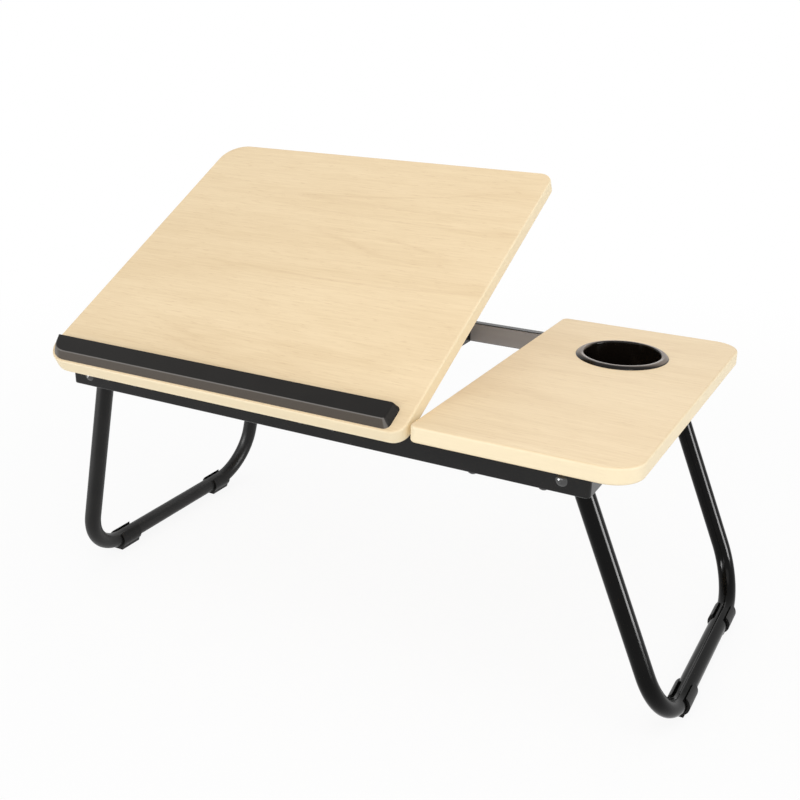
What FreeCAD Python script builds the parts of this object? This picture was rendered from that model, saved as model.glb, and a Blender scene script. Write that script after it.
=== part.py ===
"""Folding lap desk: a tilting board and a fixed side board on a steel tube frame with two folding legs.

Frame: +X to the user's right, +Y away from the user, +Z up, origin on the floor midway between the feet.
The tilting board is at its working slope, the prop bail stands in its racks, the legs are unfolded.
"""
import FreeCAD, Part
import Sketcher
import math
import os
import re

Vector = FreeCAD.Vector

doc = FreeCAD.newDocument("lap_desk")

# Driving dimensions, in millimetres and degrees
SIZES = {
    # Boards
    "desk_width": 600,
    "desk_depth": 366,
    "desk_height": 265.7,
    "board_thick": 15,
    "board_round": 2.2,
    "board_shift": 9.6,
    "side_width": 194,
    "board_gap": 3,
    "outer_corner": 28,
    "inner_corner": 14,
    # Frame of rectangular tube
    "rail_height": 22,
    "rail_width": 10,
    "rail_wall": 1.2,
    "rail_round": 1.6,
    "rail_setback": 14,
    "frame_overhang": 29.5,
    "frame_corner": 4,
    "centre_rail_inset": 108,
    # Folding legs of round tube
    "tube_dia": 17,
    "tube_wall": 1.2,
    "left_splay": 12.5,
    "right_splay": 22.7,
    "leg_bend": 54.5,
    "leg_stub": 4,
    "leg_stop_gap": 0.3,
    # Clip-on feet
    "foot_length": 28,
    "foot_wall": 2.4,
    "foot_sole": 3.5,
    "foot_sole_width": 12,
    "foot_mouth": 13,
    "foot_overlap": 9,
    "foot_clear": 0.05,
    # Leg pivots
    "rivet_dia": 6,
    "rivet_head_dia": 10.4,
    "rivet_dome": 2.4,
    "rivet_tail_dia": 9,
    "rivet_tail": 1.6,
    "bush_dia": 13,
    "left_bush": 6.3,
    "right_bush": 14.5,
    "run_clear": 0.05,
    "side_clear": 0.3,
    # Tilt hinges
    "tilt_angle": 27.7,
    "tilt_top": 34.6,
    "hinge_place": 43,
    "hinge_inset": 95,
    "hinge_length": 50,
    "knuckle_dia": 5.6,
    "knuckle_mid": 18,
    "hinge_pin_dia": 3,
    "hinge_pin_head": 0.8,
    "knuckle_clear": 0.2,
    "leaf_thick": 1.2,
    "fixed_leaf_drop": 9,
    "moving_leaf_reach": 20,
    "leaf_screw_place": 17,
    "leaf_screw_drop": 6,
    "leaf_screw_reach": 12,
    "board_lift": 0.3,
    # Prop bail and its racks
    "wire_dia": 5,
    "wire_bend": 8,
    "bail_inset": 16,
    "rack_thick": 8,
    "rack_height": 12,
    "rack_margin": 7,
    "rack_rear": 36,
    "rack_screw_drop": 7.5,
    "notch_clear": 0.5,
    "notch_low": 15,
    "notch_mid": 22,
    "clip_place": 44,
    "clip_width": 16,
    "clip_wall": 2,
    "clip_ear": 13,
    "clip_ear_thick": 2.6,
    "clip_screw_place": 9.2,
    # Stop bar
    "bar_depth": 22,
    "bar_height": 8.6,
    "bar_slope": 24,
    "bar_margin": 2.4,
    "bar_end_gap": 13,
    "bar_corner": 6,
    "bar_round": 1.6,
    "bar_screw_inset": 40,
    # Cup holder
    "cup_place": 97,
    "cup_dia": 79,
    "cup_taper": 7,
    "cup_depth": 58,
    "cup_wall": 1.7,
    "cup_flange_width": 6,
    "cup_flange": 3,
    "cup_clear": 0.4,
    # Screws
    "rail_screw_dia": 4,
    "rail_screw_bite": 8,
    "rail_screw_left": 52,
    "rail_screw_gap": 16,
    "small_screw_dia": 2.6,
    "small_screw_bite": 7,
    "screw_head_ratio": 2,
    "screw_head": 1.8,
    "screw_clear": 0.05,
}

# Lengths that follow from the driving dimensions
DERIVED = {
    "half_width": "desk_width / 2",
    "half_depth": "desk_depth / 2",
    "board_bottom": "desk_height - board_thick",
    "rail_bottom": "board_bottom - rail_height",
    "tube_r": "tube_dia / 2",
    "rivet_r": "rivet_dia / 2",
    "frame_x": "half_width - frame_overhang",
    "frame_y": "half_depth - rail_setback",
    "inside_x": "frame_x - rail_width",
    "inside_y": "frame_y - rail_width",
    "stop_reach": "tube_r + leg_stop_gap",
    "left_pivot_x": "inside_x - (stop_reach + rail_height / 2 * sin(left_splay)) / cos(left_splay)",
    "right_pivot_x": "inside_x - (stop_reach + rail_height / 2 * sin(right_splay)) / cos(right_splay)",
    "pivot_z": "board_bottom - rail_height / 2",
    "bar_z": "tube_r + foot_sole",
    "left_length": "(pivot_z - bar_z) / cos(left_splay)",
    "right_length": "(pivot_z - bar_z) / cos(right_splay)",
    "left_foot_x": "left_pivot_x + left_length * sin(left_splay)",
    "right_foot_x": "right_pivot_x + right_length * sin(right_splay)",
    "middle_x": "(right_foot_x - left_foot_x) / 2",
    "left_leg_y": "inside_y - left_bush - side_clear - tube_r",
    "right_leg_y": "inside_y - right_bush - side_clear - tube_r",
    "left_foot_y": "left_leg_y - leg_bend + foot_overlap - foot_length / 2",
    "right_foot_y": "right_leg_y - leg_bend + foot_overlap - foot_length / 2",
    "foot_rise": "leg_bend - sqrt(leg_bend ^ 2 - foot_overlap ^ 2)",
    "left_grip": "rail_width + left_bush + tube_dia + 2 * side_clear",
    "right_grip": "rail_width + right_bush + tube_dia + 2 * side_clear",
    "tilt_left": "board_shift - half_width",
    "board_right": "board_shift + half_width",
    "side_left": "board_right - side_width",
    "tilt_right": "side_left - board_gap",
    "knuckle_r": "knuckle_dia / 2",
    "pin_drop": "knuckle_r + knuckle_clear",
    "hinge_pin_r": "hinge_pin_dia / 2",
    "leaf_gap": "run_clear * 2",
    "hinge_y": "-(frame_y + knuckle_r + leaf_gap)",
    "hinge_z": "board_bottom + board_lift - pin_drop",
    "front_u": "-(half_depth + hinge_y)",
    "back_u": "front_u + desk_depth",
    "leaf_low": "pin_drop + side_clear",
    "leaf_high": "leaf_low + leaf_thick",
    "wire_r": "wire_dia / 2",
    "rack_top": "hinge_z - wire_r - side_clear",
    "rack_left": "-inside_x",
    "rack_right": "tilt_right - centre_rail_inset",
    "bail_left": "rack_left + bail_inset",
    "bail_right": "rack_right - bail_inset",
    "prop_arm": "(inside_y - rack_rear - rack_margin - hinge_y) / 2",
    "notch_r": "wire_r + notch_clear",
    "foot_end": "side_clear * 3",
    "rack_front": "hinge_y + 2 * prop_arm * cos(tilt_top) - rack_margin",
    "rack_back": "hinge_y + 2 * prop_arm + rack_margin",
    "cup_x": "(side_left + board_right) / 2",
    "cup_y": "half_depth - cup_place",
    "cup_r": "cup_dia / 2",
    "cup_base_r": "cup_r - cup_taper",
    "cup_flange_r": "cup_r + cup_flange_width",
    "cup_roll_r": "(cup_flange_width ^ 2 + cup_flange ^ 2) / (2 * cup_flange)",
    "rail_screw_r": "rail_screw_dia / 2",
    "small_screw_r": "small_screw_dia / 2",
    "bar_left": "tilt_left + bar_margin",
    "bar_right": "tilt_right - bar_end_gap",
    "bar_front": "front_u + bar_margin",
    "bar_back": "bar_front + bar_depth",
    "bar_middle": "(bar_front + bar_back) / 2",
}

sheet = doc.addObject("Spreadsheet::Sheet", "Sizes")
for row, (alias, number) in enumerate(SIZES.items(), start=1):
    sheet.set(f"A{row}", str(number))
    sheet.setAlias(f"A{row}", alias)
doc.recompute()


# Expressions over the named sizes

def formula(text):
    """The sheet expression for a formula written with the names above."""
    def named(match):
        word = match.group(0)
        if word in SIZES:
            return f"Sizes.{word}"
        if word in DERIVED:
            return f"({formula(DERIVED[word])})"
        return word
    return re.sub(r"[A-Za-z_]+", named, text)


def value(text):
    """The number that a formula gives for the sheet's present sizes."""
    return float(sheet.evalExpression(formula(text)))


def bind(thing, prop, text):
    thing.setExpression(prop, formula(text))


# Bodies, sketches and features

def new_body(label, x="0", y="0", z="0", turn=None):
    """A body at a bound place, with x from the frame's middle; turn is an axis and an angle formula."""
    body = doc.addObject("PartDesign::Body", label)
    body.Label = label
    if turn:
        axis, angle = turn
        body.Placement = FreeCAD.Placement(Vector(), FreeCAD.Rotation(axis, value(angle)))
        bind(body, "Placement.Rotation.Angle", angle)
    for letter, place in zip("xyz", (f"{x} - middle_x", y, z)):
        bind(body, f"Placement.Base.{letter}", place)
    return body


def new_sketch(body, plane, height="0"):
    """A sketch on one of the body's own planes, raised along that plane's normal."""
    sketch = body.newObject("Sketcher::SketchObject", "Sketch")
    origin_planes = body.Origin.OriginFeatures
    support = next(item for item in origin_planes if item.Role == f"{plane}_Plane")
    sketch.AttachmentSupport = [(support, "")]
    sketch.MapMode = "FlatFace"
    bind(sketch, "AttachmentOffset.Base.z", height)
    return sketch


def fix_point(sketch, geometry, end, x, y):
    for kind, text in (("DistanceX", x), ("DistanceY", y)):
        rule = Sketcher.Constraint(kind, -1, 1, geometry, end, value(text))
        bind(sketch, f"Constraints[{sketch.addConstraint(rule)}]", text)


def arc_between(start, end, radius, left_turn):
    """The short arc from start to end that turns left or right."""
    chord = end - start
    half = chord.Length / 2
    rise = math.sqrt(max(radius * radius - half * half, 0))
    across = Vector(-chord.y, chord.x, 0).normalize()
    centre = start + chord / 2 + across * (rise if left_turn else -rise)
    begin = math.atan2(start.y - centre.y, start.x - centre.x)
    finish = math.atan2(end.y - centre.y, end.x - centre.x)
    if not left_turn:
        begin, finish = finish, begin
    return Part.ArcOfCircle(Part.Circle(centre, Vector(0, 0, 1), radius), begin, finish)


def draw(sketch, steps, closed=True):
    """Draw straight lines and arcs through bound points.

    A step is (x, y) for a line to that point, or (x, y, radius, left_turn) for an arc to it.
    The first step is the starting point.
    """
    points = [Vector(value(step[0]), value(step[1]), 0) for step in steps]
    order = list(range(1, len(steps))) + ([0] if closed else [])
    ends = []
    for index in order:
        step = steps[index]
        start, end = points[index - 1], points[index]
        if len(step) == 4:
            left_turn = step[3]
            piece = sketch.addGeometry(arc_between(start, end, value(step[2]), left_turn))
            ends.append((piece, 1, 2) if left_turn else (piece, 2, 1))
            rule = Sketcher.Constraint("Radius", piece, value(step[2]))
            bind(sketch, f"Constraints[{sketch.addConstraint(rule)}]", step[2])
        else:
            piece = sketch.addGeometry(Part.LineSegment(start, end))
            ends.append((piece, 1, 2))
    for (piece, head, tail), following in zip(ends, ends[1:] + ends[:1]):
        if closed or following is not ends[0]:
            join = Sketcher.Constraint("Coincident", piece, tail, following[0], following[1])
            sketch.addConstraint(join)
    for (piece, head, tail), index in zip(ends, order):
        fix_point(sketch, piece, tail, steps[index][0], steps[index][1])
    if not closed:
        fix_point(sketch, ends[0][0], ends[0][1], steps[0][0], steps[0][1])
    return sketch


def draw_box(sketch, x_low, y_low, x_high, y_high):
    return draw(sketch, [(x_low, y_low), (x_high, y_low), (x_high, y_high), (x_low, y_high)])


def draw_circle(sketch, x, y, radius):
    geometry = sketch.addGeometry(Part.Circle(Vector(value(x), value(y), 0), Vector(0, 0, 1), value(radius)))
    rule = Sketcher.Constraint("Radius", geometry, value(radius))
    bind(sketch, f"Constraints[{sketch.addConstraint(rule)}]", radius)
    fix_point(sketch, geometry, 3, x, y)
    return sketch


def pad(body, sketch, length, midplane=False):
    feature = body.newObject("PartDesign::Pad", "Pad")
    feature.Profile = sketch
    feature.Midplane = midplane
    bind(feature, "Length", length)
    return feature


def cut(body, sketch, length=None, midplane=False, reverse=False):
    """A pocket of the given depth, or right through on both sides."""
    feature = body.newObject("PartDesign::Pocket", "Pocket")
    feature.Profile = sketch
    if length is None:
        feature.Type = "ThroughAll"
        feature.Midplane = True
    else:
        feature.Midplane = midplane
        feature.Reversed = reverse
        bind(feature, "Length", length)
    return feature


def spin(body, sketch):
    """A full turn of the sketch about its upright axis."""
    feature = body.newObject("PartDesign::Revolution", "Revolution")
    feature.Profile = sketch
    feature.ReferenceAxis = (sketch, ["V_Axis"])
    feature.Angle = 360
    return feature


def dress(body, kind, wanted, **sizes):
    """Round or bevel the edges of the body's present shape that the test accepts."""
    doc.recompute()
    base = body.Tip
    names = [f"Edge{i}" for i, edge in enumerate(base.Shape.Edges, start=1) if wanted(edge)]
    feature = body.newObject(f"PartDesign::{kind}", kind)
    feature.Base = (base, names)
    for prop, text in sizes.items():
        bind(feature, prop, text)
    return feature


def near(first, second):
    return abs(first - second) < 0.001


def level(edge, height):
    """True where an edge lies flat at the given height."""
    box = edge.BoundBox
    return near(box.ZMin, value(height)) and near(box.ZMax, value(height))


def upright_at(edge, x, y):
    """True for an upright straight edge at a place in plan."""
    box = edge.BoundBox
    flat = near(box.XMin, box.XMax) and near(box.YMin, box.YMax)
    return flat and near(box.XMin, value(x)) and near(box.YMin, value(y))


def placed_copies(label, body, places):
    """One piece for a set of like fasteners: the pattern's solid at each place."""
    doc.recompute()
    solids = []
    for place in places:
        solid = body.Tip.Shape.copy()
        solid.Placement = place.multiply(solid.Placement)
        solids.append(solid)
    feature = doc.addObject("Part::Feature", label)
    feature.Label = label
    feature.Shape = Part.makeCompound(solids)
    return feature


def gathered(label, sets):
    """One piece for sets of like parts that differ in length."""
    feature = doc.addObject("Part::Feature", label)
    feature.Label = label
    feature.Shape = Part.makeCompound([solid for copies in sets for solid in copies.Shape.Solids])
    return feature


def facing(x, y, z, direction):
    """A place, with x from the frame's middle, whose own Z axis points along the direction."""
    turn = FreeCAD.Rotation(Vector(0, 0, 1), Vector(*direction))
    return FreeCAD.Placement(Vector(value(f"{x} - middle_x"), value(y), value(z)), turn)


pieces = []


# Frame rails: rectangular tubes with mitred, rounded corners

def hollow_rail(label, outline, void):
    body = new_body(label, z="rail_bottom")
    pad(body, draw(new_sketch(body, "XY"), outline), "rail_height")

    def long_edge(edge):
        middle = (edge.FirstParameter + edge.LastParameter) / 2
        along = edge.tangentAt(middle)
        mitre = near(abs(along.x), abs(along.y))
        return not mitre and (level(edge, "0") or level(edge, "rail_height"))

    dress(body, "Fillet", long_edge, Radius="rail_round")
    tunnel = draw_box(new_sketch(body, "XY", "rail_height - rail_wall"), *void)
    cut(body, tunnel, "rail_height - 2 * rail_wall")
    return body


def long_rail(label, side):
    """Front rail where side is -1, rear rail where it is 1."""
    out, inner = f"{side} * frame_y", f"{side} * inside_y"
    bend = f"{side} * (frame_y - frame_corner)"
    tip = f"{side} * (frame_y - frame_corner * (1 - sqrt(0.5)))"
    tip_x = "frame_x - frame_corner * (1 - sqrt(0.5))"
    left_turn = side < 0
    outline = [
        (f"-({tip_x})", tip),
        ("-(frame_x - frame_corner)", out, "frame_corner", left_turn),
        ("frame_x - frame_corner", out),
        (tip_x, tip, "frame_corner", left_turn),
        ("inside_x", inner),
        ("-inside_x", inner),
    ]
    faces = sorted((f"{side} * (frame_y - rail_wall)", f"{side} * (inside_y + rail_wall)"), key=value)
    return hollow_rail(label, outline, ("-frame_x", faces[0], "frame_x", faces[1]))


def end_rail(label, side):
    """Left end rail where side is -1, right end rail where it is 1."""
    out, inner = f"{side} * frame_x", f"{side} * inside_x"
    tip = f"{side} * (frame_x - frame_corner * (1 - sqrt(0.5)))"
    tip_y = "frame_y - frame_corner * (1 - sqrt(0.5))"
    left_turn = side > 0
    outline = [
        (tip, f"-({tip_y})"),
        (out, "-(frame_y - frame_corner)", "frame_corner", left_turn),
        (out, "frame_y - frame_corner"),
        (tip, tip_y, "frame_corner", left_turn),
        (inner, "inside_y"),
        (inner, "-inside_y"),
    ]
    faces = sorted((f"{side} * (frame_x - rail_wall)", f"{side} * (inside_x + rail_wall)"), key=value)
    return hollow_rail(label, outline, (faces[0], "-frame_y", faces[1], "frame_y"))


LEGS = (("left", -1), ("right", 1))
LEAF_CENTRES = ("hinge_place - left_pivot_x", "tilt_right - hinge_inset")
LEAF_SCREWS_X = [f"{centre} + {sign} * leaf_screw_place" for centre in LEAF_CENTRES for sign in (-1, 1)]
RAIL_SCREWS_X = ("side_left + rail_screw_left", "right_pivot_x - rail_screw_gap")
RACK_SCREWS_Y = ("rack_front + rack_margin", "rack_back - rack_margin")
RACK_SCREW_Z = "rack_top - rack_screw_drop"


def cross_holes(body, radius, places, plane, length=None, height="0"):
    sketch = new_sketch(body, plane, height)
    for x, y in places:
        draw_circle(sketch, x, y, radius)
    return cut(body, sketch, length, midplane=length is not None)


for rail_name, rail_side in (("front_rail", -1), ("rear_rail", 1)):
    rail = long_rail(rail_name, rail_side)
    rivet_places = [(f"{sign} * {name}_pivot_x", "rail_height / 2") for name, sign in LEGS]
    cross_holes(rail, "rivet_r + run_clear", rivet_places, "XZ")
    screw_places = [(x, f"{rail_side} * (frame_y - rail_width / 2)") for x in RAIL_SCREWS_X]
    cross_holes(rail, "rail_screw_r + screw_clear", screw_places, "XY")
    if rail_side < 0:
        leaf_places = [(x, "hinge_z - leaf_screw_drop - rail_bottom") for x in LEAF_SCREWS_X]
        cross_holes(rail, "small_screw_r + screw_clear", leaf_places, "XZ", "rail_wall * 3", "frame_y")
    pieces.append(rail)

rack_holes = [(y, f"{RACK_SCREW_Z} - rail_bottom") for y in RACK_SCREWS_Y]
left_end_rail = end_rail("left_end_rail", -1)
cross_holes(left_end_rail, "small_screw_r + screw_clear", rack_holes, "YZ", "rail_wall * 3", "-inside_x")
right_end_rail = end_rail("right_end_rail", 1)

centre_rail = new_body("centre_rail", z="rail_bottom")
centre_section = new_sketch(centre_rail, "XZ")
draw_box(centre_section, "rack_right", "0", "rack_right + rail_width", "rail_height")
draw_box(centre_section, "rack_right + rail_wall", "rail_wall",
         "rack_right + rail_width - rail_wall", "rail_height - rail_wall")
pad(centre_rail, centre_section, "2 * inside_y", midplane=True)
cross_holes(centre_rail, "small_screw_r + screw_clear", rack_holes, "YZ", "rail_wall * 3", "rack_right")
pieces += [left_end_rail, right_end_rail, centre_rail]


# Screws: a pan head under Z = 0 and a shank above it

def pan_screw(label, radius, length):
    body = new_body(label)
    profile = draw(new_sketch(body, "XZ"), [
        ("0", "-screw_head"),
        (f"{radius} * screw_head_ratio * 0.7", "-screw_head"),
        (f"{radius} * screw_head_ratio", "-screw_head / 2"),
        (f"{radius} * screw_head_ratio", "0"),
        (radius, "0"),
        (radius, f"{length} - {radius}"),
        ("0", length),
    ])
    spin(body, profile)
    return body


def flush_screw(label, radius, length):
    """A countersunk screw whose flat head ends at Z = 0."""
    body = new_body(label)
    profile = draw(new_sketch(body, "XZ"), [
        ("0", "0"),
        (f"{radius} + leaf_thick - 2 * screw_clear", "0"),
        (radius, "leaf_thick - 2 * screw_clear"),
        (radius, f"{length} - {radius}"),
        ("0", length),
    ])
    spin(body, profile)
    return body


# Side board with its cup hole, and the screws that hold it to the rails

side_panel = new_body("side_panel", z="board_bottom")
side_outline = draw_box(new_sketch(side_panel, "XY"), "side_left", "-half_depth", "board_right", "half_depth")
pad(side_panel, side_outline, "board_thick")
dress(side_panel, "Fillet",
      lambda edge: any(upright_at(edge, "board_right", f"{sign} * half_depth") for sign in (-1, 1)),
      Radius="outer_corner")
dress(side_panel, "Fillet",
      lambda edge: any(upright_at(edge, "side_left", f"{sign} * half_depth") for sign in (-1, 1)),
      Radius="inner_corner / 2")
dress(side_panel, "Fillet",
      lambda edge: level(edge, "0") or level(edge, "board_thick"), Radius="board_round")
cut(side_panel, draw_circle(new_sketch(side_panel, "XY"), "cup_x", "cup_y", "cup_r + cup_clear"))
bites = new_sketch(side_panel, "XY")
for screw_x in RAIL_SCREWS_X:
    for rail_side in (-1, 1):
        draw_circle(bites, screw_x, f"{rail_side} * (frame_y - rail_width / 2)", "rail_screw_r + screw_clear")
cut(side_panel, bites, "rail_screw_bite + screw_clear * 10", reverse=True)
pieces.append(side_panel)

rail_screw = pan_screw("rail_screw_pattern", "rail_screw_r", "rail_height + rail_screw_bite")
pieces.append(placed_copies("side_panel_screws", rail_screw, [
    facing(x, f"{side} * (frame_y - rail_width / 2)", "rail_bottom", (0, 0, 1))
    for x in RAIL_SCREWS_X for side in (-1, 1)
]))


# Cup holder: one moulded cup with a rolled flange that lies on the board

cup_holder = new_body("cup_holder", "cup_x", "cup_y", "desk_height")
cup_profile = draw(new_sketch(cup_holder, "XZ"), [
    ("0", "-cup_depth"),
    ("cup_base_r", "-cup_depth"),
    ("cup_r", "0"),
    ("cup_flange_r", "0"),
    ("cup_r", "cup_flange", "cup_roll_r", True),
    ("cup_r - cup_wall", "cup_flange - cup_wall", "cup_wall", True),
    ("cup_base_r - cup_wall", "cup_wall - cup_depth"),
    ("0", "cup_wall - cup_depth"),
])
spin(cup_holder, cup_profile)


def ring(edge, height, radius):
    return level(edge, height) and near(edge.BoundBox.XLength, 2 * value(radius))


dress(cup_holder, "Fillet", lambda edge: ring(edge, "-cup_depth", "cup_base_r"), Radius="cup_wall * 3")
dress(cup_holder, "Fillet",
      lambda edge: ring(edge, "cup_wall - cup_depth", "cup_base_r - cup_wall"), Radius="cup_wall * 2")
pieces.append(cup_holder)


# Leg pivots: domed rivets through the rails, with a bush beside each leg tube

dome_radius = "((rivet_head_dia / 2) ^ 2 + rivet_dome ^ 2) / (2 * rivet_dome)"


def rivet_pattern(name):
    body = new_body(f"{name}_rivet_pattern")
    grip = f"{name}_grip"
    profile = draw(new_sketch(body, "XZ"), [
        ("0", "-rivet_dome"),
        ("rivet_head_dia / 2", "0", dome_radius, True),
        ("rivet_r", "0"),
        ("rivet_r", grip),
        ("rivet_tail_dia / 2", grip),
        ("rivet_tail_dia / 2", f"{grip} + rivet_tail / 2"),
        ("rivet_r", f"{grip} + rivet_tail"),
        ("0", f"{grip} + rivet_tail"),
    ])
    spin(body, profile)
    return body


def bush_pattern(name):
    body = new_body(f"{name}_bush_pattern")
    section = new_sketch(body, "XY")
    draw_circle(section, "0", "0", "bush_dia / 2")
    draw_circle(section, "0", "0", "rivet_r + run_clear")
    pad(body, section, f"{name}_bush")
    return body


def pivot_places(name, side, outer):
    """Places at the leg's front and rear pivots, facing inward from the outer distance."""
    return [
        facing(f"{side} * {name}_pivot_x", f"{-inward} * {outer}", "pivot_z", (0, inward, 0))
        for inward in (1, -1)
    ]


bush_pairs = []
for leg_name, leg_side in LEGS:
    rivet_places = pivot_places(leg_name, leg_side, "frame_y")
    bush_places = pivot_places(leg_name, leg_side, "inside_y")
    pieces.append(placed_copies(f"{leg_name}_leg_rivets", rivet_pattern(leg_name), rivet_places))
    bush_pairs.append(placed_copies(f"{leg_name}_bush_pair", bush_pattern(leg_name), bush_places))
pieces.append(gathered("pivot_bushes", bush_pairs))


# Legs: each one bent tube in a plane that leans out from its pivot line

def leg_tube(name, side):
    lean = (Vector(0, -side, 0), f"{name}_splay")
    body = new_body(f"{name}_leg_tube", f"{side} * {name}_pivot_x", "0", "pivot_z", lean)
    length, half_span = f"{name}_length", f"{name}_leg_y"
    route = draw(new_sketch(body, "YZ"), [
        (f"-{half_span}", "leg_stub"),
        (f"-{half_span}", f"leg_bend - {length}"),
        (f"leg_bend - {half_span}", f"-{length}", "leg_bend", True),
        (f"{half_span} - leg_bend", f"-{length}"),
        (half_span, f"leg_bend - {length}", "leg_bend", True),
        (half_span, "leg_stub"),
    ], closed=False)
    section = new_sketch(body, "XY", "leg_stub")
    draw_circle(section, "0", f"-{half_span}", "tube_r")
    draw_circle(section, "0", f"-{half_span}", "tube_r - tube_wall")
    tube = body.newObject("PartDesign::AdditivePipe", "Pipe")
    tube.Profile = section
    tube.Spine = route
    cross_holes(body, "rivet_r + run_clear", [("0", "0")], "XZ")
    return body


def clip_foot(name, side, end_name, end):
    """A snap-on saddle: a ring open at the top, with a flat sole and room for the bend at its outer end."""
    body = new_body(f"{name}_{end_name}_foot", f"{side} * {name}_foot_x", f"{end} * {name}_foot_y", "bar_z")
    pad(body, draw_circle(new_sketch(body, "XZ"), "0", "0", "tube_r + foot_wall"), "foot_length", True)
    sole = draw(new_sketch(body, "XZ"), [
        ("-foot_sole_width / 2", "-bar_z"),
        ("foot_sole_width / 2", "-bar_z"),
        ("tube_r", "-tube_r / 2"),
        ("-tube_r", "-tube_r / 2"),
    ])
    pad(body, sole, "foot_length", True)
    cut(body, draw_circle(new_sketch(body, "XZ"), "0", "0", "tube_r + foot_clear"))
    bend_room = new_sketch(body, "XZ", f"{-end} * (foot_length - foot_overlap) / 2")
    draw_circle(bend_room, f"{-side} * foot_rise * sin({name}_splay)", f"foot_rise * cos({name}_splay)",
                "tube_r + 3 * foot_clear")
    cut(body, bend_room, "foot_overlap", midplane=True)
    mouth = draw_box(new_sketch(body, "XZ"), "-foot_mouth / 2", "0", "foot_mouth / 2", "tube_dia")
    cut(body, mouth)
    return body


for leg_name, leg_side in LEGS:
    pieces.append(leg_tube(leg_name, leg_side))
    for end_name, end in (("front", -1), ("rear", 1)):
        pieces.append(clip_foot(leg_name, leg_side, end_name, end))


# Tilt hinges: narrow butt hinges, with the pin just in front of the front rail

def fixed_leaf(label, centre):
    body = new_body(label, centre, "hinge_y", "hinge_z")
    face = "knuckle_r + leaf_gap"
    plate = draw_box(new_sketch(body, "YZ"), f"{face} - leaf_thick", "-fixed_leaf_drop", face, "0")
    pad(body, plate, "hinge_length", True)
    pad(body, draw_circle(new_sketch(body, "YZ"), "0", "0", "knuckle_r"), "hinge_length", True)
    room = draw_box(new_sketch(body, "YZ"), "-knuckle_dia", "-knuckle_r - side_clear",
                    "knuckle_dia", "knuckle_dia")
    cut(body, room, "knuckle_mid + 2 * side_clear", midplane=True)
    cut(body, draw_circle(new_sketch(body, "YZ"), "0", "0", "hinge_pin_r + run_clear / 2"))
    places = [(f"{sign} * leaf_screw_place", "-leaf_screw_drop") for sign in (-1, 1)]
    cross_holes(body, "small_screw_r + screw_clear", places, "XZ")
    return body


def hinge_pin(label, centre):
    body = new_body(label, centre, "hinge_y", "hinge_z")
    pin = draw_circle(new_sketch(body, "YZ"), "0", "0", "hinge_pin_r")
    pad(body, pin, "hinge_length + 2 * hinge_pin_head", True)
    dress(body, "Chamfer", lambda edge: near(edge.BoundBox.XLength, 0), Size="hinge_pin_head / 2")
    return body


TILT = (Vector(1, 0, 0), "tilt_angle")


def moving_leaf(label, centre):
    body = new_body(label, centre, "hinge_y", "hinge_z", TILT)
    plate = draw_box(new_sketch(body, "YZ"), "-knuckle_r", "leaf_low", "moving_leaf_reach", "leaf_high")
    pad(body, plate, "hinge_length", True)
    web = draw_box(new_sketch(body, "YZ"), "-knuckle_r", "0", "knuckle_r", "leaf_high")
    pad(body, web, "knuckle_mid", True)
    pad(body, draw_circle(new_sketch(body, "YZ"), "0", "0", "knuckle_r"), "knuckle_mid", True)
    cut(body, draw_circle(new_sketch(body, "YZ"), "0", "0", "hinge_pin_r + run_clear"))
    places = [(f"{sign} * leaf_screw_place", "leaf_screw_reach") for sign in (-1, 1)]
    cross_holes(body, "small_screw_r + screw_clear", places, "XY")
    hole_dia = 2 * value("small_screw_r + screw_clear")
    dress(body, "Chamfer",
          lambda edge: level(edge, "leaf_low") and near(edge.BoundBox.XLength, hole_dia),
          Size="leaf_thick - screw_clear")
    return body


for hinge_name, hinge_centre in zip(("left", "right"), LEAF_CENTRES):
    pieces.append(fixed_leaf(f"{hinge_name}_hinge_fixed_leaf", hinge_centre))
    pieces.append(hinge_pin(f"{hinge_name}_hinge_pin", hinge_centre))
    pieces.append(moving_leaf(f"{hinge_name}_hinge_moving_leaf", hinge_centre))

leaf_front = "-(frame_y + leaf_thick)"
leaf_screw = pan_screw("leaf_screw_pattern", "small_screw_r", "leaf_thick + rail_wall + small_screw_r")
pieces.append(placed_copies("fixed_leaf_screws", leaf_screw, [
    facing(x, leaf_front, "hinge_z - leaf_screw_drop", (0, 1, 0)) for x in LEAF_SCREWS_X
]))


# Tilting board, drawn flat about the hinge pin and then turned up

tilt_panel = new_body("tilt_panel", "0", "hinge_y", "hinge_z", TILT)
tilt_outline = new_sketch(tilt_panel, "XY", "pin_drop")
draw_box(tilt_outline, "tilt_left", "front_u", "tilt_right", "back_u")
pad(tilt_panel, tilt_outline, "board_thick")
TILT_ENDS = ("front_u", "back_u")
dress(tilt_panel, "Fillet",
      lambda edge: any(upright_at(edge, "tilt_left", end) for end in TILT_ENDS), Radius="outer_corner")
dress(tilt_panel, "Fillet",
      lambda edge: any(upright_at(edge, "tilt_right", end) for end in TILT_ENDS), Radius="inner_corner")
dress(tilt_panel, "Fillet",
      lambda edge: level(edge, "pin_drop") or level(edge, "pin_drop + board_thick"), Radius="board_round")

leaf_beds = new_sketch(tilt_panel, "XY", "pin_drop")
for hinge_centre in LEAF_CENTRES:
    draw_box(leaf_beds,
             f"{hinge_centre} - hinge_length / 2 - side_clear", "-knuckle_r - side_clear",
             f"{hinge_centre} + hinge_length / 2 + side_clear", "moving_leaf_reach + side_clear")
cut(tilt_panel, leaf_beds, "leaf_high - pin_drop", reverse=True)

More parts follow.
